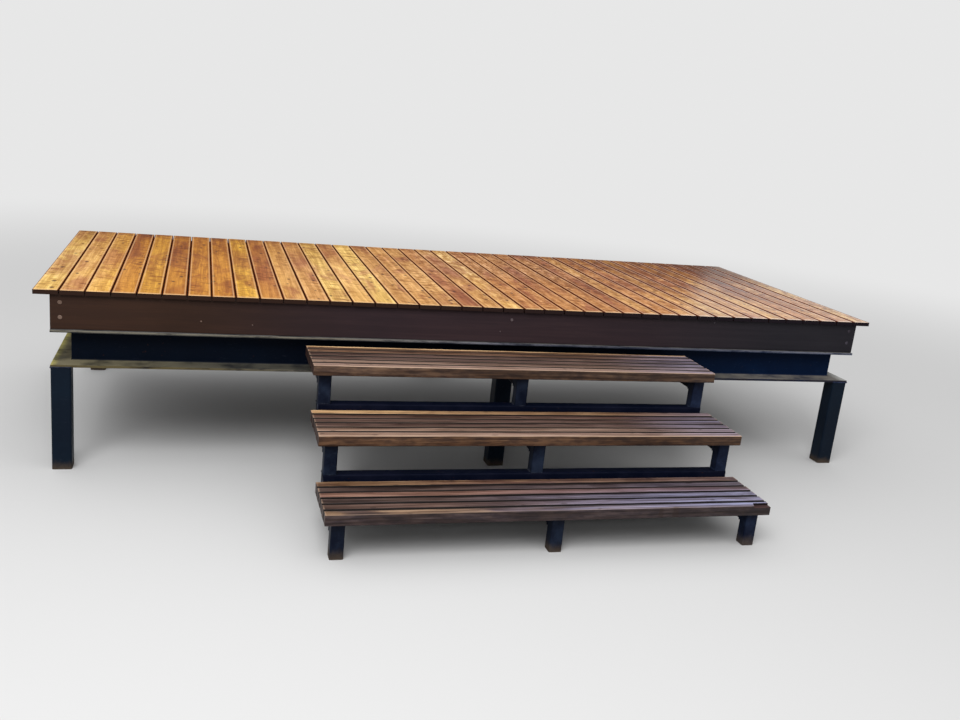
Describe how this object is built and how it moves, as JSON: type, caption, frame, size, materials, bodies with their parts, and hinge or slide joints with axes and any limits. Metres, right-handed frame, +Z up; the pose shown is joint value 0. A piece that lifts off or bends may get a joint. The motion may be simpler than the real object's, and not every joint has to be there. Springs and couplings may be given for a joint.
{
  "type": "raised timber deck with stairs",
  "caption": "Raised timber deck on a steel channel frame and posts, with a flight of open slatted treads carried on square tube frames along its front edge.",
  "frame": {"origin": "on the ground, at the middle of the whole footprint of deck and flight", "axes": "+X to the right along the front edge, +Y from the steps towards the wall side, +Z up"},
  "size_m": [3.756, 2.37, 0.736],
  "materials": {
    "deck_timber": "oiled hardwood, satin",
    "tread_timber": "weathered oiled hardwood",
    "stained_timber": "dark brown stain, satin",
    "inner_timber": "sawn treated softwood",
    "channel_paint": "dark blue-black paint, dusty",
    "post_paint": "dark blue-black paint",
    "tube_paint": "dark blue-black paint, worn"
  },
  "bodies": {
    "root": {"bottom_centre_bearer": "tube_paint", "bottom_centre_leg": "tube_paint", "bottom_left_bearer": "tube_paint", "bottom_left_leg": "tube_paint", "bottom_right_bearer": "tube_paint", "bottom_right_leg": "tube_paint", "bottom_tread": "tread_timber", "deck_boards_centre_left": "deck_timber", "deck_boards_centre_right": "deck_timber", "deck_boards_left": "deck_timber", "deck_boards_right": "deck_timber", "front_centre_post": "post_paint", "front_channel": "channel_paint", "front_inner_joist": "inner_timber", "front_joist": "stained_timber", "front_left_post": "post_paint", "front_right_post": "post_paint", "left_channel": "channel_paint", "left_end_joist": "stained_timber", "lower_bar": "tube_paint", "middle_centre_bearer": "tube_paint", "middle_centre_leg": "tube_paint", "middle_channel": "channel_paint", "middle_inner_joist": "inner_timber", "middle_left_bearer": "tube_paint", "middle_left_leg": "tube_paint", "middle_right_bearer": "tube_paint", "middle_right_leg": "tube_paint", "middle_tread": "tread_timber", "rear_centre_post": "post_paint", "rear_channel": "channel_paint", "rear_inner_joist": "inner_timber", "rear_joist": "stained_timber", "rear_left_post": "post_paint", "rear_right_post": "post_paint", "right_channel": "channel_paint", "right_end_joist": "stained_timber", "top_centre_bearer": "tube_paint", "top_centre_leg": "tube_paint", "top_left_bearer": "tube_paint", "top_left_leg": "tube_paint", "top_right_bearer": "tube_paint", "top_right_leg": "tube_paint", "top_tread": "tread_timber", "upper_bar": "tube_paint"}
  },
  "joints": []
}
